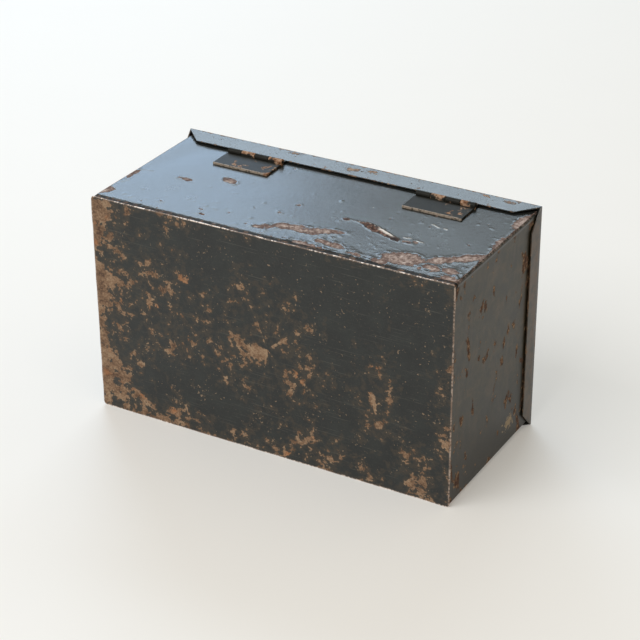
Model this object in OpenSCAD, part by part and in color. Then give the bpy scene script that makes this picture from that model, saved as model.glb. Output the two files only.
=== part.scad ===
// Tin money box: a folded sheet box with a flanged lid, two strap hinges, a till lock, a coin slot
// and a bail handle. X runs along the box, Y towards the hinges, Z up; the origin is at the centre
// of the bottom face. Sizes are in millimetres.

/* [Box] */
// length of the bottom panel
box_l = 200; // [160:1:260]
// depth of the bottom panel
box_d = 118.7; // [90:0.1:160]
// height from the bottom face to the top of the closed lid
box_h = 92; // [80:1:130]
// thickness of the tinned sheet
sheet_t = 0.6; // [0.4:0.1:0.8]
// how far the bottom panel's edge stands out past the walls
panel_lip = 0.45; // [0.2:0.05:1]
// outside radius of the upright corners
corner_r = 1.6; // [1:0.1:4]
// depth of the hem folded in along the top of the walls
hem_h = 6; // [4:0.5:10]
// width of the foot turned in along the bottom of the walls
foot_w = 4; // [3:0.5:8]

/* [Lid] */
// depth of the four folded flanges
flange_h = 10.5; // [8:0.5:16]
// how far each flange's lower corners are cut back by the slanted ends
end_cut = 10.2; // [4:0.1:14]
// gap between an end wall and its flange
end_gap = 0.7; // [0.5:0.1:2]
// gap between the front or back wall and its flange
long_gap = 1.4; // [1.3:0.1:3]
// gap between the closed lid and the rim of the walls
rim_gap = 0.3; // [0.2:0.1:1]

/* [Coin slot] */
// length of the slot
slot_l = 38; // [30:1:50]
// width of the slot
slot_w = 5; // [4.5:0.1:7]
// distance from the middle of the lid to the middle of the slot
slot_y = -3; // [-5:0.5:0]

/* [Hinges] */
// width of each hinge
hinge_w = 32; // [24:1:40]
// middle of the hinge on the right, seen from the front
hinge_right_x = 52.5; // [40:0.5:70]
// middle of the hinge on the left, seen from the front
hinge_left_x = -56; // [-70:0.5:-40]
// height of the lower edge of the leaf on the back wall
leaf_z = 62.5; // [50:0.5:68]
// thickness of the doubled leaf on the back wall
leaf_t = 1.2; // [0.8:0.1:1.2]
// outside radius of the barrel
barrel_r = 1.5; // [1.4:0.1:1.5]
// radius of the hinge pin
pin_r = 0.7; // [0.6:0.1:0.8]
// gap between neighbouring knuckles
knuckle_gap = 0.3; // [0.2:0.05:0.5]
// gap between the lower edge of the lid's back flange and the barrel
barrel_gap = 1.8; // [0.6:0.1:3]

/* [Lock] */
// height of the keyhole above the bottom face
key_z = 62; // [58:0.5:62]
// depth of the lock case from front to back
case_d = 8; // [8:0.5:10]
// thickness of the case, its cap and the catch's foot
case_t = 0.8; // [0.6:0.1:0.8]
// how far the bolt slides to lock
throw = 7; // [6:0.5:7]
// distance of the bolt's middle plane behind the wall's inner face
bolt_y = 4.3; // [4.3:0.1:4.6]

/* [Handle] */
// distance between the middles of the two ears
ear_span = 64; // [56:1:80]
// distance of the handle's pivot behind the middle of the lid
pivot_y = 10; // [8:0.5:16]
// reach of the handle from its pivot to the middle of the grip
reach = 26; // [24:0.5:32]
// radius of the handle's wire
wire_r = 1.5; // [1.3:0.1:1.5]

/* [Hidden] */
$fn = 48;
e = 0.5;
fit_c = 0.05;
wall_x = box_l / 2 - panel_lip;
wall_y = box_d / 2 - panel_lip;
in_y = wall_y - sheet_t;
lid_low = box_h - sheet_t;
wall_top = lid_low - rim_gap;
lid_x = wall_x + end_gap + sheet_t;
lid_y = wall_y + long_gap + sheet_t;
flange_in = lid_y - sheet_t;
// hinge axis
axis_y = wall_y + barrel_r + 0.3;
axis_z = box_h - flange_h - barrel_gap - barrel_r;
knuckles = 4;
knuckle_w = (hinge_w - (knuckles - 1) * knuckle_gap) / knuckles;
knuckle_step = knuckle_w + knuckle_gap;
sweep_r = barrel_r + 0.35;
// lock, measured from the wall's inner face
base_y = -in_y;
cap_y = base_y + case_d;
bolt_mid = base_y + bolt_y;
bolt_t = 2.4;
case_x0 = -14;
case_x1 = 20;
case_z0 = key_z - 10;
case_z1 = key_z + 22;
nose_z = key_z + 16;
tongue_x = 12;
tongue_t = 2;
tongue_d = 5.2;
rivet_r = 1.2;
// handle
ear_t = 0.8;
ear_w = 6;
ear_r = 2.4;
pivot_z = box_h + ear_t + ear_r;
arm_x = ear_span / 2 + 8;
bend_in = 4;
bend_grip = 8;

japan = [0.10, 0.12, 0.12];
tin = [0.62, 0.62, 0.60];
brass = [0.72, 0.58, 0.30];
iron = [0.32, 0.30, 0.28];

// box between two opposite corners
module block(a, b) {
    translate(a)
        cube(b - a);
}

// rectangle with round corners, centred
module round_rect(l, d, r) {
    square([l - 2 * r, d], center = true);
    square([l, d - 2 * r], center = true);
    for (x = [-1, 1], y = [-1, 1])
        translate([x * (l / 2 - r), y * (d / 2 - r)])
            circle(r);
}

// cylinder along +X, starting at x0
module rod_x(x0, y, z, r, l) {
    translate([x0, y, z])
        rotate([0, 90, 0])
            cylinder(r = r, h = l);
}

// cylinder along +Y, starting at y0; r2 is the radius at the far end
module rod_y(x, y0, z, r, l, r2 = -1) {
    translate([x, y0, z])
        rotate([-90, 0, 0])
            cylinder(r1 = r, r2 = r2 < 0 ? r : r2, h = l);
}

// wall band between two closed outlines, from z0 to z1
module band(inset_out, inset_in, z0, z1) {
    translate([0, 0, z0])
        linear_extrude(z1 - z0)
            difference() {
                round_rect(2 * (wall_x - inset_out), 2 * (wall_y - inset_out), corner_r - inset_out);
                if (inset_in < corner_r)
                    round_rect(2 * (wall_x - inset_in), 2 * (wall_y - inset_in), corner_r - inset_in);
                else
                    square([2 * (wall_x - inset_in), 2 * (wall_y - inset_in)], center = true);
            }
}

// keyhole cut along Y
module keyhole(grow, y0, l) {
    rod_y(0, y0, key_z, 2.3 + grow, l);
    block([-1 - grow, y0, key_z - 6.5 - grow], [1 + grow, y0 + l, key_z]);
}

// positions of the lock's rivets, as x and z
lock_rivet_at = [for (x = [case_x0 - 3.5, case_x1 + 3.5], z = [key_z - 3, key_z + 15]) [x, z]];
// heights of the keyhole plate's pins
plate_pin_z = [key_z - 9, key_z + 6.6];
plate_pin_r = 0.8;

module body_shell() {
    color(japan)
        difference() {
            union() {
                band(0, sheet_t, sheet_t, wall_top);
                band(0, 2 * sheet_t, wall_top - hem_h, wall_top);
                band(0, sheet_t + foot_w, sheet_t, 2 * sheet_t);
            }
            keyhole(0, -wall_y - e, sheet_t + 2 * e);
            for (p = lock_rivet_at)
                rod_y(p[0], -wall_y - e, p[1], rivet_r + 0.02, sheet_t + 2 * e);
            for (z = plate_pin_z)
                rod_y(0, -wall_y - e, z, plate_pin_r + 0.02, sheet_t + 2 * e);
        }
}

module bottom_panel() {
    color(japan)
        linear_extrude(sheet_t)
            round_rect(box_l, box_d, corner_r + panel_lip);
}

// outline of one flange, hanging from the lid's top face; half is half its length
module flange_outline(half) {
    polygon([
        [-half, box_h], [half, box_h], [half, box_h - sheet_t],
        [half - end_cut, box_h - flange_h], [-half + end_cut, box_h - flange_h],
        [-half, box_h - sheet_t]
    ]);
}

module lid() {
    color(japan)
        difference() {
            union() {
                block([-lid_x, -lid_y, lid_low], [lid_x, lid_y, box_h]);
                for (y = [-flange_in, lid_y])
                    translate([0, y, 0])
                        rotate([90, 0, 0])
                            linear_extrude(sheet_t)
                                flange_outline(lid_x);
                for (x = [-lid_x, lid_x - sheet_t])
                    translate([x, 0, 0])
                        rotate([90, 0, 90])
                            linear_extrude(sheet_t)
                                flange_outline(lid_y);
            }
            // coin slot with round ends
            translate([0, slot_y, lid_low - e])
                linear_extrude(sheet_t + 2 * e) {
                    square([slot_l - slot_w, slot_w], center = true);
                    for (x = [-1, 1])
                        translate([x * (slot_l - slot_w) / 2, 0])
                            circle(slot_w / 2);
                }
            for (p = catch_rivet_at)
                translate([p[0], p[1], lid_low - e])
                    cylinder(r = catch_rivet_r + 0.02, h = sheet_t + 2 * e);
            for (p = ear_rivet_at)
                translate([p[0], p[1], lid_low - e])
                    cylinder(r = catch_rivet_r + 0.02, h = sheet_t + 2 * e);
        }
}

// start of knuckle k on a hinge whose middle is at hx
function knuckle_x(hx, k) = hx - hinge_w / 2 + k * knuckle_step;

module hinge_bore(hx) {
    rod_x(hx - hinge_w / 2 - e, axis_y, axis_z, pin_r + fit_c, hinge_w + 2 * e);
}

// leaf on the back wall, with the first and third knuckles
module body_leaf(hx) {
    plate_top = axis_z - sweep_r;
    difference() {
        union() {
            block([hx - hinge_w / 2, wall_y, leaf_z], [hx + hinge_w / 2, wall_y + leaf_t, plate_top]);
            for (k = [0 : 2 : knuckles - 1]) {
                rod_x(knuckle_x(hx, k), axis_y, axis_z, barrel_r, knuckle_w);
                block([knuckle_x(hx, k), wall_y, plate_top - e],
                      [knuckle_x(hx, k) + knuckle_w, wall_y + leaf_t, axis_z]);
            }
        }
        hinge_bore(hx);
    }
}

// leaf inside the lid's back flange, with the second and fourth knuckles
module lid_leaf(hx) {
    plate_low = axis_z + sweep_r;
    difference() {
        union() {
            block([hx - hinge_w / 2, flange_in - sheet_t, plate_low],
                  [hx + hinge_w / 2, flange_in, lid_low - 0.6]);
            for (k = [1 : 2 : knuckles - 1]) {
                rod_x(knuckle_x(hx, k), axis_y, axis_z, barrel_r, knuckle_w);
                block([knuckle_x(hx, k), flange_in - sheet_t, axis_z],
                      [knuckle_x(hx, k) + knuckle_w, flange_in, plate_low + e]);
            }
        }
        hinge_bore(hx);
    }
}

module hinge_pin(hx) {
    rod_x(hx - hinge_w / 2 - 0.3, axis_y, axis_z, pin_r, hinge_w + 0.6);
}

module hinge_body_leaf_right() {
    color(iron)
        body_leaf(hinge_right_x);
}

module hinge_body_leaf_left() {
    color(iron)
        body_leaf(hinge_left_x);
}

module hinge_lid_leaf_right() {
    color(iron)
        lid_leaf(hinge_right_x);
}

module hinge_lid_leaf_left() {
    color(iron)
        lid_leaf(hinge_left_x);
}

module hinge_pin_right() {
    color(iron)
        hinge_pin(hinge_right_x);
}

module hinge_pin_left() {
    color(iron)
        hinge_pin(hinge_left_x);
}

// stud that guides the bolt
stud_x = 0.5;
stud_z = key_z + 12.5;
stud_r = 1;

module lock_case() {
    color(brass)
        difference() {
            union() {
                // base against the front wall, with an ear at each side
                block([case_x0, base_y, case_z0], [case_x1, base_y + case_t, case_z1]);
                block([case_x0 - 7, base_y, key_z - 7], [case_x1 + 7, base_y + case_t, key_z + 19]);
                // rim
                difference() {
                    block([case_x0, base_y, case_z0], [case_x1, cap_y, case_z1]);
                    block([case_x0 + case_t, base_y - e, case_z0 + case_t],
                          [case_x1 - case_t, cap_y + e, case_z1 - case_t]);
                }
                // guide stud, and the shelf that the thrown nose runs over
                rod_y(stud_x, base_y, stud_z, stud_r, case_d - 0.5);
                block([tongue_x + 3, base_y, nose_z - 4], [case_x1, cap_y - 1, nose_z - 2.4]);
            }
            keyhole(0.1, base_y - e, case_t + 2 * e);
            // mouth for the catch's tongue
            block([tongue_x - 2, base_y + 0.9, case_z1 - case_t - e],
                  [tongue_x + 2.4, cap_y + e, case_z1 + e]);
            for (p = lock_rivet_at)
                rod_y(p[0], base_y - e, p[1], rivet_r + 0.02, case_t + 2 * e);
            for (z = plate_pin_z)
                rod_y(0, base_y - e, z, plate_pin_r + 0.02, case_t + e);
        }
}

module lock_cap() {
    color(brass)
        difference() {
            block([case_x0, cap_y, case_z0], [case_x1, cap_y + case_t, case_z1]);
            rod_y(0, cap_y - e, key_z, 1.12, case_t + 2 * e);
        }
}

// round pin that a pipe key turns on, headed behind the cap
module lock_key_pin() {
    color(iron) {
        rod_y(0, base_y + 0.2, key_z, 1.1, case_d + case_t - 0.2);
        rod_y(0, cap_y + case_t, key_z, 2, 0.6, 1.4);
    }
}

module lock_bolt() {
    y0 = bolt_mid - bolt_t / 2;
    color(brass)
        difference() {
            union() {
                block([stud_x - 10, y0, key_z + 4.5],
                      [tongue_x - tongue_t / 2 - throw - 0.4, y0 + bolt_t, nose_z + 2]);
                block([stud_x, y0, nose_z - 2],
                      [tongue_x - tongue_t / 2 - 1.3, y0 + bolt_t, nose_z + 2]);
            }
            // slot round the guide stud
            block([stud_x - throw, y0 - e, stud_z - 1.3], [stud_x, y0 + bolt_t + e, stud_z + 1.3]);
            for (x = [stud_x - throw, stud_x])
                rod_y(x, y0 - e, stud_z, 1.3, bolt_t + 2 * e);
            // notch that the key pushes
            block([-4, y0 - e, key_z + 4], [1.2, y0 + bolt_t + e, key_z + 8]);
        }
}

// bowed leaf spring above the bolt, held by the side of the case
module lock_spring() {
    x0 = case_x0 + case_t;
    z0 = nose_z + 3.6;
    color(tin)
        translate([0, bolt_mid + 2, 0])
            rotate([90, 0, 0])
                linear_extrude(4)
                    polygon([
                        [x0, z0], [x0 + 9, z0 - 0.9], [x0 + 17, z0 + 0.4],
                        [x0 + 17, z0 + 0.8], [x0 + 9, z0 - 0.5], [x0, z0 + 0.4]
                    ]);
}

module lock_rivets() {
    color(brass)
        for (p = lock_rivet_at) {
            rod_y(p[0], -wall_y, p[1], rivet_r, sheet_t + case_t);
            rod_y(p[0], -wall_y - 0.6, p[1], 1.5, 0.6, 2.1);
            rod_y(p[0], base_y + case_t, p[1], 2.1, 0.7, 1.5);
        }
}

// oval escutcheon on the outside of the front wall
module keyhole_plate() {
    color(brass)
        difference() {
            translate([0, -wall_y, key_z - 1])
                rotate([90, 0, 0])
                    linear_extrude(sheet_t)
                        union() {
                            square([14, 9], center = true);
                            for (z = [-4.5, 4.5])
                                translate([0, z])
                                    circle(7);
                        }
            keyhole(0.3, -wall_y - sheet_t - e, sheet_t + 2 * e);
            for (z = plate_pin_z)
                rod_y(0, -wall_y - sheet_t - e, z, plate_pin_r + 0.02, sheet_t + 2 * e);
        }
}

module keyhole_pins() {
    color(brass)
        for (z = plate_pin_z) {
            rod_y(0, -wall_y - sheet_t, z, plate_pin_r, 2 * sheet_t + case_t);
            rod_y(0, -wall_y - sheet_t - 0.4, z, 1, 0.4, 1.4);
        }
}

catch_rivet_at = [[3.6, bolt_mid], [8.2, bolt_mid]];
catch_rivet_r = 1;

// bent staple under the lid: a riveted foot and a tongue with an eye for the bolt
module lid_catch() {
    color(iron)
        difference() {
            union() {
                block([1, bolt_mid - tongue_d / 2, lid_low - case_t],
                      [tongue_x + tongue_t / 2, bolt_mid + tongue_d / 2, lid_low]);
                block([tongue_x - tongue_t / 2, bolt_mid - tongue_d / 2, nose_z - 6],
                      [tongue_x + tongue_t / 2, bolt_mid + tongue_d / 2, lid_low]);
            }
            block([tongue_x - 2, bolt_mid - bolt_t / 2 - 0.35, nose_z - 2.4],
                  [tongue_x + 2, bolt_mid + bolt_t / 2 + 0.35, nose_z + 2.4]);
            for (p = catch_rivet_at)
                translate([p[0], p[1], lid_low - case_t - e])
                    cylinder(r = catch_rivet_r + 0.02, h = case_t + 2 * e);
        }
}

module lid_catch_rivets() {
    color(iron)
        for (p = catch_rivet_at)
            translate([p[0], p[1], 0]) {
                translate([0, 0, lid_low - case_t])
                    cylinder(r = catch_rivet_r, h = sheet_t + case_t);
                translate([0, 0, box_h])
                    cylinder(r1 = 1.9, r2 = 1.2, h = 0.6);
            }
}

ear_rivet_at = [for (x = [-1, 1], y = [-6.5, 6.5]) [x * ear_span / 2, pivot_y + y]];

// riveted foot with a rolled eye for the end of the handle
module handle_ear(x) {
    difference() {
        union() {
            translate([x, pivot_y, box_h])
                linear_extrude(ear_t)
                    round_rect(9, 19, 3);
            rod_x(x - ear_w / 2, pivot_y, pivot_z, ear_r, ear_w);
            block([x - ear_w / 2, pivot_y - 1.6, box_h + ear_t / 2],
                  [x + ear_w / 2, pivot_y + 1.6, pivot_z]);
        }
        rod_x(x - ear_w / 2 - e, pivot_y, pivot_z, wire_r + 0.08, ear_w + 2 * e);
        for (y = [-6.5, 6.5])
            translate([x, pivot_y + y, box_h - e])
                cylinder(r = catch_rivet_r + 0.02, h = ear_t + 2 * e);
    }
}

module handle_ear_right() {
    color(iron)
        handle_ear(ear_span / 2);
}

module handle_ear_left() {
    color(iron)
        handle_ear(-ear_span / 2);
}

module handle_ear_rivets() {
    color(iron)
        for (p = ear_rivet_at)
            translate([p[0], p[1], 0]) {
                translate([0, 0, lid_low])
                    cylinder(r = catch_rivet_r, h = sheet_t + ear_t);
                translate([0, 0, box_h + ear_t])
                    cylinder(r1 = 1.9, r2 = 1.2, h = 0.7);
                translate([0, 0, lid_low - 0.5])
                    cylinder(r1 = 1.4, r2 = 1.9, h = 0.5);
            }
}

// quarter bend of the wire, turning from +X to -Y about the given centre
module wire_bend(x, y, r, turn) {
    translate([x, y, pivot_z])
        rotate([0, 0, turn])
            rotate_extrude(angle = 90)
                translate([r, 0])
                    circle(wire_r);
}

// half of the handle, on the right
module bail_half() {
    grip_y = pivot_y - reach;
    end_x = ear_span / 2 - ear_w / 2 + 0.3;
    rod_x(end_x, pivot_y, pivot_z, wire_r, arm_x - bend_in - end_x);
    wire_bend(arm_x - bend_in, pivot_y - bend_in, bend_in, 0);
    rod_y(arm_x, grip_y + bend_grip, pivot_z, wire_r, reach - bend_in - bend_grip);
    wire_bend(arm_x - bend_grip, grip_y + bend_grip, bend_grip, -90);
    rod_x(0, grip_y, pivot_z, wire_r, arm_x - bend_grip);
}

module handle_bail() {
    color(iron)
        union() {
            bail_half();
            mirror([1, 0, 0])
                bail_half();
        }
}

body_shell();
bottom_panel();
lid();
hinge_body_leaf_right();
hinge_body_leaf_left();
hinge_lid_leaf_right();
hinge_lid_leaf_left();
hinge_pin_right();
hinge_pin_left();
lock_case();
lock_cap();
lock_bolt();
lock_spring();
lock_key_pin();
lock_rivets();
keyhole_plate();
keyhole_pins();
lid_catch();
lid_catch_rivets();
handle_bail();
handle_ear_right();
handle_ear_left();
handle_ear_rivets();
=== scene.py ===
"""A japanned tin money box, seen as it lies on its front wall: worn paint, rust, hinges and lock."""

import math

import bmesh
import bpy
from mathutils import Matrix, Vector, noise


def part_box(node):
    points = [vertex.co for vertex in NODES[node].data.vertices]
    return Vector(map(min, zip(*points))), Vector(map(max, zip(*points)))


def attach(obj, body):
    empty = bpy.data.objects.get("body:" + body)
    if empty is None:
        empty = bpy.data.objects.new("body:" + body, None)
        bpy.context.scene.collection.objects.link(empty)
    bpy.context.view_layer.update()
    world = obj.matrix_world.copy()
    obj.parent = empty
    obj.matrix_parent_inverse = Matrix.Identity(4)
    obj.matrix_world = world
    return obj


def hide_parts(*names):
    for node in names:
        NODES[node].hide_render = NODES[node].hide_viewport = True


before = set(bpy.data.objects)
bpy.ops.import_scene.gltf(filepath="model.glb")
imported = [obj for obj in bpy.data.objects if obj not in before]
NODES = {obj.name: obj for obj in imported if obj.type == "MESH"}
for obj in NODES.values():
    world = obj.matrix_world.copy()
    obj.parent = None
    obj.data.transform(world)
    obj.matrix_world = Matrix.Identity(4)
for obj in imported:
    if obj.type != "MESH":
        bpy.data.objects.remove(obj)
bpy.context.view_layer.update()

MM = 0.001


def middle_of(node):
    """The middle of a CAD node's box, in millimetres."""
    low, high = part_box(node)
    return (low + high) / 2 / MM


# How far the walls, the bottom panel and the lid reach along X, Y and Z, in millimetres.
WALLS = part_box("body_shell")[1] / MM
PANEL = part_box("bottom_panel")[1] / MM
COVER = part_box("lid")[1] / MM
HINGE_AXIS_Z = middle_of("hinge_pin_right").z
RIGHT_HINGE_X = middle_of("hinge_body_leaf_right").x
LEFT_HINGE_X = middle_of("hinge_body_leaf_left").x
LEAF_FOOT_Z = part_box("hinge_body_leaf_right")[0].z / MM


# ---------------------------------------------------------------- shader helpers


class Reading:
    """One output of a material's nodes; arithmetic on it adds Math nodes."""

    def __init__(self, shop, socket):
        self.shop = shop
        self.socket = socket

    def calc(self, operation, *values):
        return self.shop.node(
            "ShaderNodeMath", {"operation": operation}, dict(enumerate(values))
        )

    def __add__(self, other):
        return self.calc("ADD", self, other)

    def __radd__(self, other):
        return self.calc("ADD", other, self)

    def __sub__(self, other):
        return self.calc("SUBTRACT", self, other)

    def __rsub__(self, other):
        return self.calc("SUBTRACT", other, self)

    def __mul__(self, other):
        return self.calc("MULTIPLY", self, other)

    def __rmul__(self, other):
        return self.calc("MULTIPLY", other, self)

    def size(self):
        return self.calc("ABSOLUTE", self)

    def least(self, other):
        return self.calc("MINIMUM", self, other)

    def most(self, other):
        return self.calc("MAXIMUM", self, other)

    def rise(self, low, high):
        """0 below low, 1 above high, smooth between; high may be the smaller one."""
        return self.shop.node(
            "ShaderNodeMapRange",
            {"interpolation_type": "SMOOTHSTEP", "clamp": True},
            {0: self, 1: low, 2: high, 3: 0.0, 4: 1.0},
        )

    def swing(self, amount):
        """A reading around 0.5 as one around 0, by an amount."""
        return (self - 0.5) * amount


class Shop:
    """The nodes of one material, with places in millimetres on the box."""

    def __init__(self, name):
        self.material = bpy.data.materials.new(name)
        self.material.use_nodes = True
        self.tree = self.material.node_tree
        self.tree.nodes.clear()
        metres = self.node("ShaderNodeTexCoord", pick="Object")
        self.place = self.vector("SCALE", metres, Scale=1 / MM)
        self.x = self.node("ShaderNodeSeparateXYZ", inputs={0: self.place}, pick="X")
        self.y = self.node("ShaderNodeSeparateXYZ", inputs={0: self.place}, pick="Y")
        self.z = self.node("ShaderNodeSeparateXYZ", inputs={0: self.place}, pick="Z")

    def node(self, kind, settings=None, inputs=None, pick=0):
        """Any node: its type, its settings, then the values or links of its sockets."""
        made = self.tree.nodes.new(kind)
        for name, value in (settings or {}).items():
            if name == "stops":
                self.set_stops(made.color_ramp, value)
            else:
                setattr(made, name, value)
        for name, value in (inputs or {}).items():
            if isinstance(value, Reading):
                self.tree.links.new(value.socket, made.inputs[name])
            else:
                made.inputs[name].default_value = value
        return Reading(self, made.outputs[pick]) if len(made.outputs) else None

    @staticmethod
    def set_stops(ramp, stops):
        while len(ramp.elements) < len(stops):
            ramp.elements.new(0.5)
        for element, (at, colour) in zip(ramp.elements, stops):
            element.position = at
            element.color = (*colour, 1.0)

    def vector(self, operation, a, b=None, c=None, pick=0, **named):
        inputs = {0: a}
        if b is not None:
            inputs[1] = b
        if c is not None:
            inputs[2] = c
        return self.node(
            "ShaderNodeVectorMath", {"operation": operation}, {**inputs, **named}, pick
        )

    def mix(self, factor, a, b, how="MIX"):
        """Colour b over colour a by a factor."""
        a, b = [(*v, 1.0) if isinstance(v, tuple) else v for v in (a, b)]
        settings = {"data_type": "RGBA", "blend_type": how}
        return self.node("ShaderNodeMix", settings, {0: factor, 6: a, 7: b}, pick=2)

    def ramp(self, factor, *stops):
        return self.node("ShaderNodeValToRGB", {"stops": stops}, {0: factor})

    def cloud(self, scale, detail=4.0, rough=0.55, bend=0.0, where=None, pick="Fac"):
        """Noise with a scale in cycles per millimetre."""
        inputs = {
            "Vector": where or self.place,
            "Scale": scale,
            "Detail": detail,
            "Roughness": rough,
            "Distortion": bend,
        }
        return self.node("ShaderNodeTexNoise", inputs=inputs, pick=pick)

    def turned(self, stretch, angle=(0.0, 0.0, 0.0), shift=(0.0, 0.0, 0.0)):
        """The place with its axes turned and stretched, for drawn-out patterns."""
        inputs = {0: self.place, "Location": shift, "Rotation": angle, "Scale": stretch}
        return self.node("ShaderNodeMapping", inputs=inputs)

    def shaken(self, amount, scale):
        """The place, pushed about by noise, so that what is drawn there gets ragged edges."""
        push = self.cloud(scale, 4.0, 0.6, pick="Color")
        centred = self.vector("SUBTRACT", push, (0.5, 0.5, 0.5))
        return self.vector("ADD", self.vector("SCALE", centred, Scale=amount), self.place)

    def painted(self, name):
        """A value that the mesh carries at its corners."""
        return self.node("ShaderNodeAttribute", {"attribute_name": name}, pick="Fac")

    def spots(self, where, spots):
        """Distance to the nearest of some spots: 0 in a middle and 1 at a rim."""
        nearest = None
        for middle, reach in spots:
            inverse = Vector([1 / r for r in reach])
            offset = Vector([-m / r for m, r in zip(middle, reach)])
            there = self.vector("MULTIPLY_ADD", where, tuple(inverse), tuple(offset))
            length = self.vector("LENGTH", there, pick="Value")
            nearest = length if nearest is None else nearest.least(length)
        return nearest

    def finish(self, colour, roughness, metallic, height, depth, fixed=None):
        """Ends in one Principled shader; height is a relief in units of depth, in millimetres."""
        relief = {"Strength": 1.0, "Distance": depth * MM, "Height": height}
        inputs = {"Base Color": colour, "Roughness": roughness, "Metallic": metallic}
        inputs["Normal"] = self.node("ShaderNodeBump", inputs=relief)
        inputs.update(fixed or {})
        surface = self.node("ShaderNodeBsdfPrincipled", inputs=inputs)
        self.node("ShaderNodeOutputMaterial", inputs={"Surface": surface})
        return self.material


# ---------------------------------------------------------------- finishes

# Reach of a spot along an axis that doesn't count.
FAR = 1000.0
RUST_BROWN = (0.075, 0.042, 0.028)
RUST_TAN = (0.215, 0.132, 0.082)
RUST_PALE = (0.350, 0.252, 0.172)
RUST_ORANGE = (0.480, 0.200, 0.080)
JAPAN_BLACK = (0.008, 0.0105, 0.0115)
JAPAN_WORN = (0.018, 0.023, 0.023)
SCRATCH_GREY = (0.300, 0.300, 0.270)
SCRATCH_WARM = (0.300, 0.290, 0.260)


def rust_colour(s):
    """Mottled brown and tan, with a few pale and orange places."""
    slow = s.cloud(0.16, 5.0, 0.6)
    fine = s.cloud(0.9, 6.0, 0.65)
    mixed = slow * 0.5 + fine * 0.5
    base = s.ramp(mixed, (0.40, RUST_BROWN), (0.50, RUST_TAN), (0.62, RUST_PALE))
    warm = s.cloud(0.11, 3.0, 0.5, where=s.turned((1, 1, 1), shift=(31, 7, 3)))
    return s.mix(warm.rise(0.60, 0.72) * 0.4, base, RUST_ORANGE)


def fine_scratches(s, angle, amount):
    """Thin lines along one direction in the XY plane, broken up in patches."""
    lines = s.cloud(1.0, 2.0, 0.5, where=s.turned((0.035, 1.6, 0.4), (0.0, 0.0, angle)))
    patch = s.cloud(0.045, 2.0, 0.5, where=s.turned((1, 1, 1), shift=(angle * 40, 11, 5)))
    return lines.rise(0.655, 0.70) * patch.rise(0.46, 0.60) * amount


def on_bottom(*places):
    """Spots on the bottom, each given as x, y and its reach along both; height doesn't count."""
    return [((x, y, 0), (reach_x, reach_y, FAR)) for x, y, reach_x, reach_y in places]


# Where the bottom's paint is gone in patches, and where it is only flecked.
WORN_THROUGH = on_bottom(
    (103, 5, 13, 90),
    (96, 44, 10, 20),
    (92, -38, 11, 18),
    (80, -52, 15, 9),
    (69, 33, 5, 6),
    (20, 2, 6, 7),
    (6, -4, 5, 7),
    (-14, -11, 6, 6),
    (-82, -52, 6, 4),
    (-58, -14, 2.5, 8),
    (57, -60.5, 47, 5),
)
FLECKED = on_bottom(
    (82, 10, 18, 50),
    (58, 28, 14, 12),
    (70, -6, 26, 12),
    (10, 2, 30, 24),
    (-12, -12, 20, 12),
    (-60, -14, 9, 20),
    (-85, -48, 16, 13),
    (-98, -20, 6, 34),
    (-94, -42, 8, 14),
    (-45, -56, 26, 6),
    (-28, -46, 18, 9),
    (45, -54, 60, 7),
    (-77, 57, 9, 4),
    (-42, 59, 8, 3),
    (-98, 56, 7, 7),
    (13, 59, 14, 3),
    (75, 58, 24, 3),
)
# Rust on the lid's back flange: a middle and a reach along each axis.
FLANGE_BLOTS = [
    ((36, 61, 90), (4.5, 3, 1.6)),
    ((0, 61, 87), (7, 3, 2.2)),
    ((-10, 61, 88.5), (4, 3, 1.6)),
    ((-72, 61, 90), (3, 3, 1.2)),
    ((-85, 61, 89), (4, 3, 1.6)),
]


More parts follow.
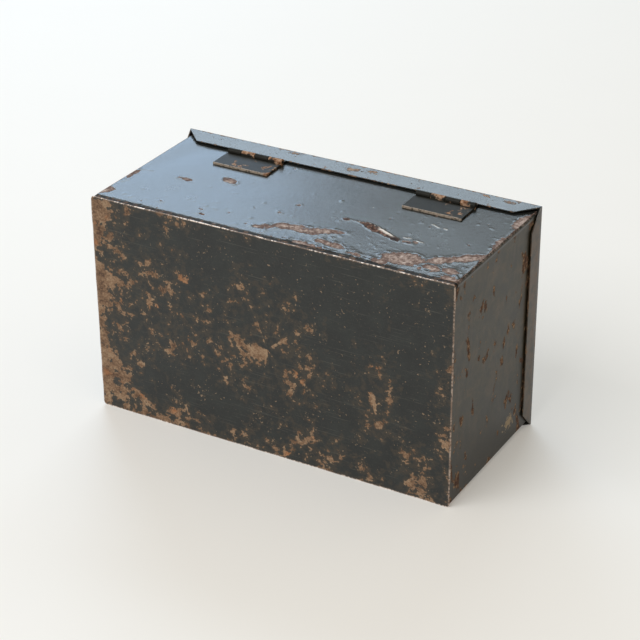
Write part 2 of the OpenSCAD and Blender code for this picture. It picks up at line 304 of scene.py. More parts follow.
def japanned_bottom():
    """Satin japan worn through to rust, thickest at the right end and the front edge."""
    s = Shop("japanned_bottom")
    where = s.shaken(9.0, 0.06)
    dense = s.spots(where, WORN_THROUGH)
    sparse = s.spots(where, FLECKED)
    coarse = s.cloud(0.10, 3.0, 0.55)
    flecks = s.cloud(0.26, 3.0, 0.50)
    ragged = s.cloud(0.85, 4.0, 0.60)
    cluster = s.cloud(0.045, 2.0, 0.5, where=s.turned((1, 1, 1), shift=(140, 20, 0)))
    in_patches = (1.25 - dense).least(0.62).most(-0.6)
    in_flecks = (1.1 - sparse).least(0.30).most(-1.1) * 0.7
    base = in_patches.most(in_flecks) + s.x.rise(91.0, 99.0) * 0.45
    worn = base + coarse.swing(2.6) + cluster.swing(1.6) + flecks.swing(3.0) + ragged.swing(1.3)
    chipped = worn.rise(0.54, 0.60)
    stain = worn.rise(-0.25, 0.45) * 0.50
    tiny = s.cloud(0.75, 3.0, 0.5, where=s.turned((1, 1, 1), shift=(5, 70, 2)))
    specks = (tiny + coarse.swing(0.25)).rise(0.68, 0.71)
    scratches = fine_scratches(s, 0.5, 1.0)
    scratches = scratches.most(fine_scratches(s, 1.75, 0.8)).most(fine_scratches(s, 1.2, 0.7))
    haze = s.cloud(0.07, 6.0, 0.7)
    dust = s.cloud(0.9, 6.0, 0.75)
    paint = s.mix(haze.rise(0.35, 0.75), JAPAN_BLACK, JAPAN_WORN)
    paint = s.mix(dust.rise(0.50, 0.78) * 0.5, paint, (0.065, 0.068, 0.058))
    paint = s.mix(stain, paint, (0.060, 0.045, 0.030))
    paint = s.mix(scratches * 0.16, paint, SCRATCH_GREY)
    colour = s.mix(chipped, paint, rust_colour(s))
    colour = s.mix(specks * (1 - chipped) * 0.6, colour, RUST_PALE)
    rim_x = (s.x.size() - WALLS.x).rise(-0.7, 0.1)
    rim_y = (s.y.size() - (PANEL.y - 0.3)).rise(-0.5, 0.05)
    rim = rim_x.most(rim_y)
    colour = s.mix(rim * ragged.rise(0.36, 0.46) * 0.9, colour, (0.230, 0.165, 0.130))
    broken = (ragged * 0.5 + s.cloud(0.08, 3.0, 0.6) * 0.5).rise(0.49, 0.55)
    bright = rim_y.most(rim_x * 0.3) * broken
    colour = s.mix(bright, colour, (0.850, 0.740, 0.680))
    grain = s.cloud(1.4, 5.0, 0.6)
    rough = 0.34 + haze * 0.16 + dust * 0.08 + chipped * 0.30 + scratches * 0.08
    height = (1 - chipped) * 0.6 + grain * 0.22 + s.cloud(0.05, 2.0, 0.4) * 1.2
    return s.finish(colour, rough, bright * 0.5, height, 0.10)


def end_paint_and_shade(s):
    """Japan of the end walls, stained brown, with painted shade making it darker towards the front."""
    paint = s.ramp(
        s.cloud(0.10, 6.0, 0.7),
        (0.38, (0.010, 0.009, 0.003)),
        (0.52, (0.030, 0.024, 0.008)),
        (0.66, (0.070, 0.044, 0.018)),
    )
    streak = s.cloud(1.0, 4.0, 0.6, where=s.turned((0.30, 0.05, 0.22)))
    paint = s.mix(streak.rise(0.52, 0.66) * 0.35, paint, (0.085, 0.055, 0.034))
    # Painted shade: the japan darkens towards the front, where the end meets the table.
    return s.mix((-4 - s.y).rise(0.0, 50.0) * 0.85, paint, (0.009, 0.008, 0.005))


def chip_bed(s, chip, bed):
    """What lies bare in the chips of the back wall: mottled and pale, dark round the rims."""
    pale = s.ramp(
        bed,
        (0.38, (0.090, 0.052, 0.040)),
        (0.50, (0.260, 0.190, 0.165)),
        (0.64, (0.450, 0.380, 0.350)),
    )
    rim = chip.rise(-0.06, 0.02) * (1 - (chip + bed.swing(1.4)).rise(0.12, 0.75))
    return s.mix(rim * 0.65, pale, (0.085, 0.040, 0.028))


def japanned_body():
    """Gloss japan on the walls: chipped and blistered on the back, streaked on the ends."""
    s = Shop("japanned_body")
    chip = s.painted("chip")
    bare = s.painted("bare")
    fleck = s.cloud(0.5, 5.0, 0.6)
    bed = s.cloud(0.55, 6.0, 0.68)
    haze = s.cloud(0.06, 5.0, 0.65)
    blot = s.cloud(1.0, 3.0, 0.5, where=s.turned((0.2, 0.075, 0.15)))
    ragged = s.cloud(1.6, 4.0, 0.6).swing(0.45)
    on_back = s.y.rise(WALLS.y - 2.9, WALLS.y - 1.4)
    on_end = (s.x.size() - (WALLS.x - 2.55)).rise(0.0, 1.0) * (1 - on_back)
    on_front = (-1 * s.y).rise(WALLS.y - 2.9, WALLS.y - 0.9)

    back_chip = (chip + ragged).rise(-0.01, 0.05) * on_back
    near_rims = (26 - s.z).rise(0.0, 26.0) + (s.z - 68).rise(0.0, 12.0)
    end_rust = (blot + near_rims * 0.075 + fleck.swing(0.30)).rise(0.62, 0.665) * on_end
    corner_x = (s.x.size() - (WALLS.x - 0.95)).rise(-0.6, 0.8)
    corner_y = (s.y.size() - (WALLS.y - 0.8)).rise(-0.6, 0.8)
    edge_wear = corner_x * corner_y * s.cloud(0.35, 5.0, 0.65).rise(0.44, 0.56)
    low = (30 - s.z).rise(0.0, 30.0) + (s.x.size() - 70).rise(0.0, 30.0) * 0.7
    front_rust = (blot * 0.5 + fleck * 0.5 + low * 0.055).rise(0.585, 0.61) * on_front
    damage = back_chip.most(end_rust * 0.9).most(edge_wear).most(front_rust)

    paint = s.mix(haze, (0.012, 0.014, 0.014), (0.026, 0.027, 0.024))
    # The ends' japan, with painted shade towards the front.
    paint = s.mix(on_end * 0.8, paint, end_paint_and_shade(s))
    hair_lines = s.cloud(1.0, 2.0, 0.5, where=s.turned((0.03, 1.0, 1.2), (0.0, 0.35, 0.0)))
    paint = s.mix(hair_lines.rise(0.655, 0.69) * on_front * 0.12, paint, SCRATCH_WARM)
    end_brown = s.ramp(
        fleck,
        (0.42, (0.060, 0.026, 0.016)),
        (0.54, (0.125, 0.062, 0.038)),
        (0.66, (0.330, 0.230, 0.150)),
    )
    beneath = s.mix(on_back, s.mix(on_end, rust_colour(s), end_brown), chip_bed(s, chip, bed))
    colour = s.mix(damage, paint, beneath)
    torn = (s.painted("scar") + ragged * 1.5).rise(0.25, 0.5)
    torn_brown = s.ramp(
        bed,
        (0.42, (0.016, 0.008, 0.006)),
        (0.54, (0.070, 0.030, 0.020)),
        (0.66, (0.260, 0.160, 0.120)),
    )
    colour = s.mix(torn, colour, torn_brown)
    # Bare metal of the nicks and the gouge's wedge, partly a painted highlight, with a painted glint on the
    # knot.
    colour = s.mix(bare, colour, (0.860, 0.810, 0.760))
    # Painted shade, flecked with brown dirt, in a strip along the foot of the back wall where it meets the
    # bottom.
    shaded_seam = (3.6 - s.z + bed.swing(2.4)).rise(0.0, 0.4) * on_back
    seam_dirt_and_shade = s.mix(fleck.rise(0.5, 0.62), (0.010, 0.009, 0.008), (0.110, 0.060, 0.035))
    colour = s.mix(shaded_seam, colour, seam_dirt_and_shade)
    scuff = s.spots(s.shaken(5.0, 0.3), [((-100, -47, 66), (FAR, 5, 7))])
    left_end = on_end * (-1 * s.x).rise(90.0, 95.0)
    pale = (1.1 - scuff + fleck.swing(3.2)).rise(0.40, 0.7) * left_end
    colour = s.mix(pale * 0.8, colour, (0.360, 0.290, 0.210))

    rough = 0.22 + haze * 0.08 + on_end * 0.18 + damage.most(torn) * 0.55 + pale * 0.3 + shaded_seam * 0.55
    grain = s.cloud(1.2, 4.0, 0.6) * 0.08 * (1 + damage * 4)
    height = (1 - damage) * 0.35 + grain + s.cloud(0.025, 1.0, 0.3) * 2.0
    return s.finish(colour, rough, edge_wear.most(bare) * 0.6, height, 0.14)


def japanned_lid():
    """Japan on the lid, rubbed at the folds and hems, with rust blots on the back flange."""
    s = Shop("japanned_lid")
    haze = s.cloud(0.08, 5.0, 0.65)
    fine = s.cloud(0.8, 5.0, 0.6)
    fold_x = (s.x.size() - (COVER.x - 0.65)).rise(-0.9, 0.6)
    fold_y = (s.y.size() - (COVER.y - 0.7)).rise(-0.9, 0.6)
    folds = fold_x.most(fold_y) * s.z.rise(COVER.z - 1.4, COVER.z - 0.2)
    end_flange = (s.x.size() - (COVER.x - 1.85)).rise(0, 1)
    long_flange = (s.y.size() - (COVER.y - 1.4)).rise(0, 0.6)
    hems = end_flange.most(long_flange) * (COVER.z - 8.8 - s.z).rise(0.6, 1.8)
    patchy = s.cloud(0.30, 6.0, 0.65).swing(2.6)
    rubbed = (folds * 0.55 + hems * 0.40 + patchy).rise(0.42, 0.62)
    dots = s.cloud(0.40, 3.0, 0.5, where=s.turned((1, 1, 1), shift=(2, 8, 77))).rise(0.69, 0.74)
    blots = s.spots(s.shaken(4.0, 0.3), FLANGE_BLOTS)
    on_back = s.y.rise(COVER.y - 1.9, COVER.y - 0.4)
    flange_rust = (1.0 - blots + fine.swing(2.4)).rise(0.30, 0.45) * on_back
    damage = rubbed.most(dots * 0.8).most(flange_rust)
    on_end = (s.x.size() - (COVER.x - 1.25)).rise(0.0, 0.8) * (COVER.z - 1 - s.z).rise(0.0, 1.5)
    paint = s.mix(haze, (0.013, 0.015, 0.016), (0.032, 0.033, 0.030))
    umber = s.ramp(s.cloud(0.14, 6.0, 0.7), (0.40, (0.040, 0.036, 0.026)), (0.54, (0.105, 0.066, 0.040)))
    paint = s.mix(on_end * 0.8, paint, umber)
    scratches = fine_scratches(s, 0.3, 1.0).most(fine_scratches(s, 1.3, 0.7))
    paint = s.mix(scratches * 0.12, paint, SCRATCH_WARM)
    colour = s.mix(damage, paint, rust_colour(s))
    rough = 0.20 + haze * 0.12 + damage * 0.42 + on_end * 0.16
    height = (1 - damage) * 0.6 + s.cloud(1.2, 4.0, 0.6) * 0.14 + s.cloud(0.03, 1.0, 0.3) * 2.2
    return s.finish(colour, rough, damage * 0.10, height, 0.12)


def hinge_iron(name, knuckle_rust, leaf_rust):
    """Painted strap iron; rust on its knuckles and towards the left side of each leaf."""
    s = Shop(name)
    fine = s.cloud(0.8, 5.0, 0.6)
    patch = s.cloud(0.16, 3.0, 0.55)
    knuckle = s.z.rise(HINGE_AXIS_Z - 2.0, HINGE_AXIS_Z - 1.2)
    left_side = (LEFT_HINGE_X - s.x).rise(6, 15).most((RIGHT_HINGE_X - s.x).rise(6, 15) * s.x.rise(0, 5))
    push = knuckle * knuckle_rust + left_side * (1 - knuckle) * leaf_rust
    rusty = (patch + push + fine.swing(0.22)).rise(0.63, 0.72)
    paint = s.mix(s.cloud(0.2, 4.0, 0.6), (0.010, 0.011, 0.011), (0.034, 0.033, 0.028))
    # A painted highlight, broken up, along the lower edge of each leaf.
    lip_highlight = (LEAF_FOOT_Z + 0.7 - s.z).rise(0.0, 0.5) * fine.rise(0.36, 0.50)
    paint = s.mix(lip_highlight * 0.8, paint, (0.420, 0.350, 0.290))
    rust = s.ramp(
        fine,
        (0.34, (0.110, 0.052, 0.030)),
        (0.50, (0.270, 0.150, 0.090)),
        (0.68, (0.470, 0.350, 0.260)),
    )
    colour = s.mix(rusty, paint, rust)
    rough = 0.34 + rusty * 0.36 + fine * 0.08
    height = (1 - rusty) * 0.5 + fine * 0.4
    return s.finish(colour, rough, rusty * 0.05, height, 0.08, fixed={"Specular IOR Level": 0.07})


def plain_metal(name, dark, light, rough, metallic, stain, depth=0.05):
    """Dull bare metal with a stained, finely pitted surface."""
    s = Shop(name)
    slow = s.cloud(0.25, 5.0, 0.6)
    fine = s.cloud(1.8, 5.0, 0.6)
    brushed = s.cloud(1.0, 2.0, 0.5, where=s.turned((0.25, 3.0, 3.0)))
    colour = s.ramp(slow * 0.7 + fine * 0.3, (0.34, dark), (0.62, light))
    tarnish = slow.rise(0.52, 0.68)
    colour = s.mix(tarnish * 0.65, colour, stain)
    roughness = rough + tarnish * 0.22 + brushed * 0.10
    return s.finish(colour, roughness, metallic - tarnish * 0.35, fine * 0.6 + brushed * 0.4, depth)


def worn_iron(name):
    """Black japan on iron wire and straps, rubbed through on the high places."""
    s = Shop(name)
    fine = s.cloud(0.9, 5.0, 0.6)
    rubbed = (s.cloud(0.14, 4.0, 0.6) + fine.swing(0.5)).rise(0.56, 0.64)
    paint = s.mix(fine, (0.012, 0.013, 0.013), (0.034, 0.034, 0.030))
    bare = s.ramp(fine, (0.35, (0.130, 0.075, 0.045)), (0.60, (0.360, 0.290, 0.220)))
    colour = s.mix(rubbed, paint, bare)
    rough = 0.28 + rubbed * 0.34 + fine * 0.1
    height = (1 - rubbed) * 0.5 + fine * 0.4
    return s.finish(colour, rough, rubbed * 0.45, height, 0.08)


BOTTOM = japanned_bottom()
BODY = japanned_body()
LID = japanned_lid()
HINGE = hinge_iron("hinge_body_iron", 0.24, 0.10)
HINGE_LID = hinge_iron("hinge_lid_iron", 0.02, 0.0)
IRON = worn_iron("japanned_iron")
BRASS = plain_metal(
    "aged_brass", (0.230, 0.150, 0.055), (0.560, 0.410, 0.180), 0.34, 0.95, (0.120, 0.085, 0.045)
)
PLATE = plain_metal(
    "keyhole_brass", (0.270, 0.180, 0.070), (0.640, 0.480, 0.220), 0.30, 0.95, (0.110, 0.075, 0.040)
)
STEEL = plain_metal(
    "spring_steel", (0.200, 0.190, 0.180), (0.420, 0.400, 0.370), 0.32, 0.95, (0.140, 0.080, 0.045)
)
RIVETS = plain_metal(
    "worn_rivets", (0.150, 0.120, 0.095), (0.380, 0.330, 0.270), 0.40, 0.80, (0.130, 0.070, 0.040)
)


# ---------------------------------------------------------------- pieces


def shown(bm, name, body, node, material):
    """Turns a bmesh into a piece that rides on a body and stands for a CAD node."""
    bm.normal_update()
    mesh = bpy.data.meshes.new(name)
    bm.to_mesh(mesh)
    bm.free()
    for face in mesh.polygons:
        face.use_smooth = True
    mesh.set_sharp_from_angle(angle=math.radians(42))
    mesh.materials.append(material)
    piece = bpy.data.objects.new(name, mesh)
    bpy.context.scene.collection.objects.link(piece)
    even = piece.modifiers.new("even shading", "WEIGHTED_NORMAL")
    even.keep_sharp = True
    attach(piece, body)
    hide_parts(node)


def cad_shape(node):
    """A merged copy of a CAD node's mesh, with its flat faces whole again."""
    bm = bmesh.new()
    bm.from_mesh(NODES[node].data)
    bmesh.ops.remove_doubles(bm, verts=bm.verts, dist=0.002 * MM)
    bmesh.ops.dissolve_limit(
        bm, angle_limit=math.radians(0.5), verts=bm.verts, edges=bm.edges
    )
    return bm


def ease(bm, width, steps=2, angle=40):
    """Rounds every edge sharper than an angle."""
    limit = math.radians(angle)
    sharp = [e for e in bm.edges if e.is_manifold and e.calc_face_angle() > limit]
    bmesh.ops.bevel(
        bm,
        geom=sharp,
        offset=width * MM,
        offset_type="OFFSET",
        segments=steps,
        profile=0.5,
        affect="EDGES",
        clamp_overlap=True,
        material=-1,
    )


def cut(bm, axis, at):
    """Cuts all faces across one axis at a place in metres."""
    normal = Vector((0, 0, 0))
    normal[axis] = 1
    everything = bm.verts[:] + bm.edges[:] + bm.faces[:]
    bmesh.ops.bisect_plane(bm, geom=everything, plane_co=normal * at, plane_no=normal, dist=1e-7)


def slice_up(bm, axis, low, high, step):
    """Cuts all faces across one axis at even steps in millimetres, so that they can bend."""
    for k in range(1, int((high - low) / step)):
        cut(bm, axis, (low + k * step) * MM)


def eased(node, body, material, width):
    """A CAD piece as it is, with its edges broken."""
    bm = cad_shape(node)
    ease(bm, width)
    shown(bm, node + "_worn", body, node, material)


def wave(x, y, z, scale):
    """Smooth, repeatable unevenness between about -1 and 1."""
    return noise.noise(Vector((x, y, z)) * scale)


def clamp(value):
    return min(max(value, 0.0), 1.0)


def outward(value):
    return 1.0 if value > 0 else -1.0


def ease_in(value, low, high):
    t = clamp((value - low) / (high - low))
    return t * t * (3 - 2 * t)


def bow(x, z):
    """How far the back wall sags inwards, in millimetres."""
    up = math.sin(math.pi * clamp((z - 1) / 90))
    middle = clamp(1 - (x / 99.6) ** 2)
    fold = 0.22 * math.exp(-(((x - 88) + (z - 60) * 0.35) / 9) ** 2) * ease_in(z, 15, 60)
    return 0.30 * middle * up + 0.15 * up * middle * wave(x, 0, z, 0.03) + fold


def lift(x, z, middle, reach, turn=0.0):
    """1 in the middle of an oval place on the back wall, 0 on its rim, less outside."""
    c, d = math.cos(turn), math.sin(turn)
    u = (x - middle[0]) * c + (z - middle[1]) * d
    v = (z - middle[1]) * c - (x - middle[0]) * d
    return 1 - math.hypot(u / reach[0], v / reach[1])


# Chips in the back wall's paint: a middle (x, z), the reach along and across, and a turn.
BACK_CHIPS = [
    ((-66.5, 12.8), (10.5, 6.5), -0.15),
    ((-82.5, 19.5), (6, 3.6), -0.6),
    ((-92, 27), (12, 3.4), -0.7),
    ((-4, 17.5), (10, 3.2), -0.25),
    ((-20, 21), (9, 3.0), -0.35),
    ((-13, 17), (8, 2.6), -0.1),
    ((-30, 10), (8, 2.4), 0.1),
    ((-22, 4.2), (9, 1.6), 0.05),
    ((10, 10), (3.2, 1.6), -0.2),
    ((5, 13), (3, 1.8), 0.2),
    ((-82, 10.5), (4.5, 2.4), 0.2),
    ((-91, 12), (4.5, 2.6), 0.3),
    ((-95, 4), (5, 2.8), 0.2),
    ((-58, 5), (5, 1.8), 0.2),
    ((-45, 6), (4, 1.4), 0.1),
    ((-98, 76), (3.2, 9), 0.0),
    ((-98, 50), (1.5, 6), 0.0),
    ((49.3, 49), (4.5, 2.6), 0.3),
    ((69.5, 40), (3.6, 1.3), 0.1),
    ((98, 10), (4, 4.5), 0.4),
    ((97, 30), (1.6, 6), 0.0),
    ((41, 9), (1.7, 1.2), 0.0),
    ((67, 12), (1.4, 1.0), 0.0),
    ((5.3, 41), (1.1, 0.9), 0.0),
    ((8.6, 29), (1.1, 0.9), 0.0),
    ((-60.5, 29.5), (2.2, 1.2), 0.2),
    ((-64, 31), (1.6, 1.0), 0.2),
]


def chip_depth(x, z):
    """Above 0 where the paint is gone, and near 0 at its rim."""
    ragged = 0.42 * wave(x, 3, z, 0.18) + 0.34 * wave(x, 9, z, 0.45) + 0.20 * wave(x, 5, z, 1.1)
    best = max(lift(x, z, *place) * min(place[1]) / 3.0 for place in BACK_CHIPS)
    small = 2.5 * (wave(x, 40, z, 0.33) - 0.72 + 0.16 * ease_in(25 - z, 0, 25) + 0.08 * ease_in(-x, -20, 90))
    return max(best + ragged * 0.75, small)


GOUGE_START = -29.0
GOUGE_LENGTH = 27.0


def scar(x, z):
    """The gouge: a rough brown knot running into a bright wedge pushed up out of the sheet."""
    far = (GOUGE_START - x) / GOUGE_LENGTH
    across = z - (38.2 - 9.5 * clamp(far) ** 1.3 + 0.5 * wave(x, 1, 0, 0.35))
    inside = ease_in(far, -0.04, 0.06) * ease_in(1.03 - far, 0.0, 0.12)
    wide = 0.7 + 2.0 * ease_in(far, 0.10, 0.26) - 1.0 * ease_in(far, 0.5, 1.0) + 1.1 * wave(x, 4, z, 0.45)
    ridge = clamp(1 - abs(across) / wide) * inside
    rough = 0.70 + 1.5 * wave(x, 6, z, 0.85)
    wedge = ease_in(far, 0.46, 0.54)
    smear = clamp(1 - math.hypot((x + 26.5) / 4.5, (z - 38.4) / 0.9))
    dot = clamp(1.2 - math.hypot((x + 22.9) / 1.9, (z - 37.9) / 1.4))
    ends = clamp(1.1 - math.hypot((x + 60.5) / 2.6, (z - 29.3) / 1.0))
    height = 1.35 * ridge ** 0.8 * (rough * (1 - wedge) + wedge * (1.05 - 0.45 * far))
    height += 0.2 * smear + 0.35 * dot + 0.35 * ends
    # Bare metal on one side of the wedge, partly a painted highlight, and a painted glint along the knot's
    # upper edge; both go into the returned bare value.
    bare = wedge * ease_in(ridge, 0.08, 0.26) * ease_in(across, -0.9, -0.1) * ease_in(0.9 - far, 0, 0.1)
    glint = (1 - wedge) * ease_in(ridge, 0.1, 0.25) * ease_in(0.5 - ridge, 0, 0.2) * ease_in(across, 0, 0.5)
    brown = max(ease_in(ridge, 0.03, 0.2), smear * 0.45, dot * 1.5, ends * 1.3)
    return height, clamp(bare + 0.7 * glint), clamp(brown)


# Nicks in the same paint: a middle, half a length and a turn.
SCRATCHES = [
    ((-64, 51.5), 3.5, 0.35),
    ((-70, 50.5), 2.5, 0.1),
    ((-58, 33.5), 3.0, -0.3),
    ((-66, 32.5), 3.0, -0.1),
]
SCRATCH_WIDTH = 0.6


def back_scratch(x, z):
    """Short bright nicks in the paint."""
    best = 0.0
    for place, reach, turn in SCRATCHES:
        best = max(best, clamp(lift(x, z, place, (reach, SCRATCH_WIDTH), turn) + 0.5 * wave(x, 3, z, 0.9)))
    return ease_in(best, 0.15, 0.4)


# Values of the chip layer off the skin and along its edges; the paint ends at 0.
UNCHIPPED = -0.5
CHIPPED = 0.4
# Width of the strip along the skin's edges where it sinks into the wall.
SKIN_RIM = 0.8


def paint_relief(x, z, chip):
    """Height of the back wall's paint: curled round chips, wrinkled and pimpled low down."""
    near = ease_in(0.9 + chip, 0.0, 1.0)
    corner = ease_in(-x, -25, 45) * ease_in(34 - z, 0, 16)
    fold = abs(wave(x * 0.8, 0, z * 1.5, 0.28)) + 0.5 * abs(wave(x, 7, z, 0.7))
    wrinkle = near * corner * (0.55 - fold) * 0.75
    pimples = ease_in(wave(x, 21, z, 0.42), 0.50, 0.66) * 0.16 * ease_in(40 - z, 0, 30)
    curl = 0.42 * math.exp(-(((chip + 0.12) / 0.11) ** 2)) * (0.40 + 0.9 * wave(x, 2, z, 0.25))
    return 0.14 * (1 - ease_in(chip, -0.05, 0.05)) + curl + wrinkle + pimples


def back_skin(bm):
    """Adds the paint skin of the back wall, with its chips, gouge and nicks."""
    chip_layer = bm.verts.layers.float.new("chip")
    bare_and_highlight_layer = bm.verts.layers.float.new("bare")
    scar_layer = bm.verts.layers.float.new("scar")
    for vert in bm.verts:
        vert[chip_layer] = UNCHIPPED
    half, low, top = WALLS.x - 0.75, 0.9, WALLS.z - 0.7
    made = bmesh.ops.create_grid(bm, x_segments=270, y_segments=122, size=0.5)["verts"]
    for vert in made:
        x = vert.co.x * 2 * half
        z = low + (vert.co.y + 0.5) * (top - low)
        inside = clamp(min(half - abs(x), z - low, top - z) / SKIN_RIM)
        chip = chip_depth(x, z)
        # bare holds the gouge's bare metal together with its painted highlight and glint.
        raised, bare, brown = scar(x, z)
        nick = back_scratch(x, z)
        groove = 0.45 * ease_in(3.6 + 0.3 * wave(x, 0, 0, 0.3) - z, 0.0, 0.9)
        up = paint_relief(x, z, chip) + raised + 0.12 * nick + 0.03 * wave(x, 8, z, 1.1)
        sunk = 0.06 * (1 - inside) + groove
        y = WALLS.y - bow(x, z) + (0.05 + max(up, 0)) * inside - sunk
        vert.co = Vector((x, y, z)) * MM
        vert[chip_layer] = chip if inside > 0.5 else CHIPPED
        vert[bare_and_highlight_layer] = max(bare, 0.45 * nick)
        vert[scar_layer] = brown


def body_piece():
    """The walls, bowed and dented a little as old tin is."""
    bm = cad_shape("body_shell")
    ease(bm, 0.15)
    slice_up(bm, 0, -99.5, 99.5, 5)
    slice_up(bm, 1, -59, 59, 6)
    slice_up(bm, 2, 0.6, 91, 5)
    for vert in bm.verts:
        x, y, z = vert.co / MM
        up = math.sin(math.pi * clamp((z - 1) / 90))
        if abs(y) > WALLS.y - 2:
            vert.co.y -= outward(y) * bow(x, z) * MM
        if abs(x) > WALLS.x - 2:
            middle = 1 - (y / 59) ** 2
            push = 0.25 * middle * up + 0.10 * up * middle * wave(0, y, z, 0.04)
            vert.co.x -= outward(x) * push * MM
    back_skin(bm)
    shown(bm, "box_walls", "box", "body_shell", BODY)


def bottom_piece():
    """The bottom panel, with an uneven cut edge and a shallow dish."""
    bm = cad_shape("bottom_panel")
    slice_up(bm, 0, -100, 100, 4)
    slice_up(bm, 1, -59.4, 59.4, 4)
    ease(bm, 0.18)
    for vert in bm.verts:
        x, y, z = vert.co / MM
        if abs(x) > PANEL.x - 0.7:
            vert.co.x += outward(x) * (wave(0, y, 1, 0.11) * 0.22 - 0.12) * MM
        if abs(y) > PANEL.y - 0.7:
            vert.co.y += outward(y) * (wave(x, 0, 1, 0.09) * 0.22 - 0.12) * MM
        middle = max(0, (1 - (x / 98) ** 2) * (1 - (y / 57) ** 2))
        vert.co.z += (0.35 + 0.2 * wave(x, y, 0, 0.025)) * middle * MM
    shown(bm, "bottom_sheet", "box", "bottom_panel", BOTTOM)


def lid_piece():
    """The lid, its folds rounded and its flanges a little uneven."""
    bm = cad_shape("lid")
    ease(bm, 0.25, 3)
    slice_up(bm, 0, -101, 101, 6)
    slice_up(bm, 1, -61, 61, 6)
    for vert in bm.verts:
        x, y, z = vert.co / MM
        hang = max(0.0, (COVER.z - 1 - z) / 10)
        if y > COVER.y - 1:
            vert.co.y += (0.45 + (wave(x, 0, 5, 0.03) * 0.06 - 0.98) * hang) * MM
        if y < 1 - COVER.y:
            vert.co.y += (wave(x, 0, 5, 0.03) * 0.10 + 0.30) * hang * MM
        if abs(x) > COVER.x - 1 and hang > 0:
            lean = 0.5 if x > 0 else 0.1
            vert.co.x += outward(x) * (wave(0, y, 5, 0.04) * 0.07 - lean) * hang * MM
    shown(bm, "lid_sheet", "lid", "lid", LID)


body_piece()
bottom_piece()
lid_piece()
for side in ("right", "left"):
    eased(f"hinge_body_leaf_{side}", "box", HINGE, 0.15)
    eased(f"hinge_lid_leaf_{side}", "lid", HINGE_LID, 0.12)
    eased(f"hinge_pin_{side}", "box", HINGE_LID, 0.15)
    eased(f"handle_ear_{side}", "lid", IRON, 0.2)
eased("handle_bail", "handle", IRON, 0.3)
eased("handle_ear_rivets", "lid", RIVETS, 0.2)
eased("lock_case", "box", BRASS, 0.12)
eased("lock_cap", "box", BRASS, 0.15)
eased("lock_bolt", "bolt", BRASS, 0.15)
eased("lock_spring", "box", STEEL, 0.08)
eased("lock_key_pin", "box", STEEL, 0.2)
eased("lock_rivets", "box", BRASS, 0.2)
eased("keyhole_plate", "box", PLATE, 0.18)
eased("keyhole_pins", "box", PLATE, 0.15)
eased("lid_catch", "lid", IRON, 0.15)
eased("lid_catch_rivets", "lid", RIVETS, 0.2)


# ---------------------------------------------------------------- table, floor, light, camera


STAGE = 12.0
PALE = (0.64, 0.64, 0.636)
PALE_SPECK = (0.6304, 0.6304, 0.62646)
GLOW = (0.195, 0.194, 0.190, 1.0)


def one_sided(name):
    """A pale, faintly glowing surface that is seen from its front only."""
    s = Shop(name)
    tone = s.mix(s.cloud(0.02, 3.0, 0.5), PALE, PALE_SPECK)
    inputs = {"Base Color": tone, "Roughness": 0.6, "Emission Color": GLOW, "Emission Strength": 1.0}
    front = s.node("ShaderNodeBsdfPrincipled", inputs=inputs)
    back = s.node("ShaderNodeBsdfTransparent")
    behind = s.node("ShaderNodeNewGeometry", pick="Backfacing")
    both = s.node("ShaderNodeMixShader", inputs={0: behind, 1: front, 2: back})
    s.node("ShaderNodeOutputMaterial", inputs={"Surface": both})
    return s.material


def sheet(name, material, matrix, hole=None):
    """A flat stage surface; a hole, if any, is a middle, a width and a depth."""
    bm = bmesh.new()
    bmesh.ops.create_grid(bm, x_segments=1, y_segments=1, size=STAGE / 2)
    if hole:
        middle, width, depth = hole
        for axis, reach in enumerate((width / 2, depth / 2)):
            cut(bm, axis, middle[axis] - reach)
            cut(bm, axis, middle[axis] + reach)
        bmesh.ops.delete(
            bm,
            geom=[
                face
                for face in bm.faces
                if abs(face.calc_center_median().x - middle[0]) < width / 2
                and abs(face.calc_center_median().y - middle[1]) < depth / 2
            ],
            context="FACES",
        )
    bmesh.ops.transform(bm, matrix=matrix, verts=bm.verts)
    mesh = bpy.data.meshes.new(name)
    bm.to_mesh(mesh)
    bm.free()
    mesh.materials.append(material)
    made = bpy.data.objects.new(name, mesh)
    bpy.context.scene.collection.objects.link(made)
    made.visible_shadow = False
    return made


# The table touches the front edges of the bottom panel and of the lid's front flange.
foot_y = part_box("bottom_panel")[0].y
flange_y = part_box("lid")[0].y
flange_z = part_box("lid")[1].z
up = Vector((0, flange_z, foot_y - flange_y)).normalized()
table_place = Matrix(
    (
        (1, 0, 0, 0),
        (0, up.z, up.y, foot_y),
        (0, -up.y, up.z, 0),
        (0, 0, 0, 1),
    )
)
# Its hole, as a middle, a width and a depth, leaves the front wall uncovered.
hole = ((0, -flange_z / 2), 0.192, flange_z * 0.92)
table = sheet("table", one_sided("pale_table"), table_place, hole)
table.visible_diffuse = False
floor = sheet("floor", one_sided("pale_floor"), Matrix.Identity(4))
floor.visible_diffuse = False
floor.visible_glossy = False


# The lamps stand round this point.
BOX_MIDDLE = Vector((0, 0, 0.045))


def lamp(name, direction, across, distance, width, height, radiance, colour):
    """A soft rectangular light seen from the box in a direction, with its width along across."""
    data = bpy.data.lights.new(name, "AREA")
    data.shape = "RECTANGLE"
    data.size = width
    data.size_y = height
    data.energy = radiance * math.pi * width * height
    data.color = colour
    made = bpy.data.objects.new(name, data)
    bpy.context.scene.collection.objects.link(made)
    away = Vector(direction).normalized()
    side = Vector(across)
    side = (side - side.dot(away) * away).normalized()
    turn = Matrix((side, away.cross(side), away)).transposed()
    made.matrix_world = Matrix.Translation(BOX_MIDDLE + away * distance) @ turn.to_4x4()


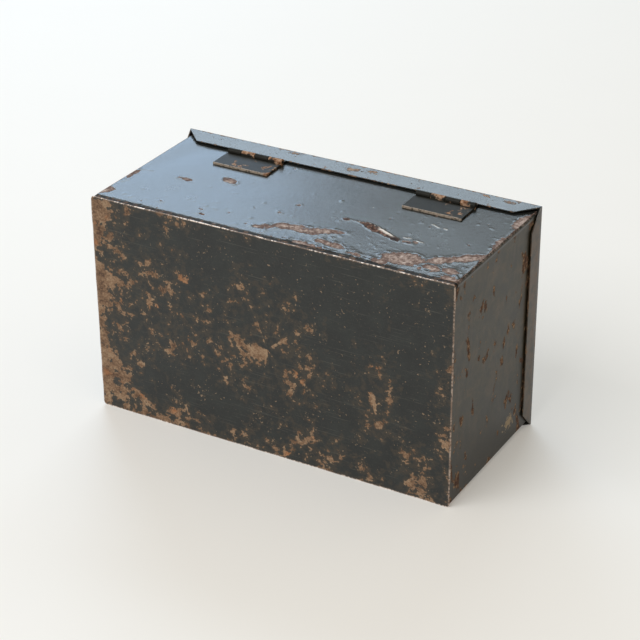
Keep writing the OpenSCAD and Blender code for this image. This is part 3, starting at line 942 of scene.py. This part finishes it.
lamp("window", (0.63, 0.335, 0.70), (0.90, -0.21, -0.40), 2.0, 0.80, 0.42, 4.6, (0.52, 0.73, 1.0))
lamp("pale_wall", (0.40, 0.60, 0.69), (0.90, -0.10, -0.40), 2.0, 1.4, 0.44, 6.0, (0.70, 0.86, 1.0))
lamp("overhead", (0.35, 0.85, 0.30), (0, 0, 1), 2.6, 1.8, 1.6, 0.30, (0.82, 0.92, 1.0))
lamp("room", (0.28, 0.70, -0.62), (1, 0, 0), 2.6, 2.4, 1.6, 3.8, (0.97, 0.985, 1.0))
lamp("front_fill", (0.35, -0.85, 0.60), (1, 0, 0), 2.4, 1.6, 1.2, 1.6, (1.0, 0.97, 0.93))

world = bpy.data.worlds.new("room")
bpy.context.scene.world = world
world.use_nodes = True
tree = world.node_tree
tree.nodes.clear()
path = tree.nodes.new("ShaderNodeLightPath")


def room_light(colour, over=None, when=None):
    """A plain surrounding colour, laid over another for one kind of ray."""
    plain = tree.nodes.new("ShaderNodeBackground")
    plain.inputs["Color"].default_value = (*colour, 1)
    if over is None:
        return plain.outputs[0]
    mix = tree.nodes.new("ShaderNodeMixShader")
    tree.links.new(path.outputs[when], mix.inputs[0])
    tree.links.new(over, mix.inputs[1])
    tree.links.new(plain.outputs[0], mix.inputs[2])
    return mix.outputs[0]


reflected = room_light((0.315, 0.300, 0.250))
ambient = room_light((0.54, 0.475, 0.370), reflected, "Is Diffuse Ray")
seen = room_light((0.86, 0.865, 0.86), ambient, "Is Camera Ray")
out = tree.nodes.new("ShaderNodeOutputWorld")
tree.links.new(seen, out.inputs[0])

# The camera sees the bottom, the back wall and the left end, and the box lies on its front wall.
camera_place = Vector((-0.43535, 0.45693, -0.70397))
right = Vector((-0.86796, -0.00547, 0.49660))
down = Vector((-0.22952, -0.88233, -0.41086))
ahead = Vector((0.44042, -0.47059, 0.76458))
turn = Matrix((right, -down, -ahead)).transposed()
camera_data = bpy.data.cameras.new("camera")
camera = bpy.data.objects.new("camera", camera_data)
bpy.context.scene.collection.objects.link(camera)
camera_data.lens = 110.0
camera_data.sensor_width = 36.0
camera_data.clip_start = 0.05
camera_data.clip_end = 50.0
camera.matrix_world = Matrix.Translation(camera_place) @ turn.to_4x4()
bpy.context.scene.camera = camera
bpy.context.scene.view_settings.view_transform = "Standard"
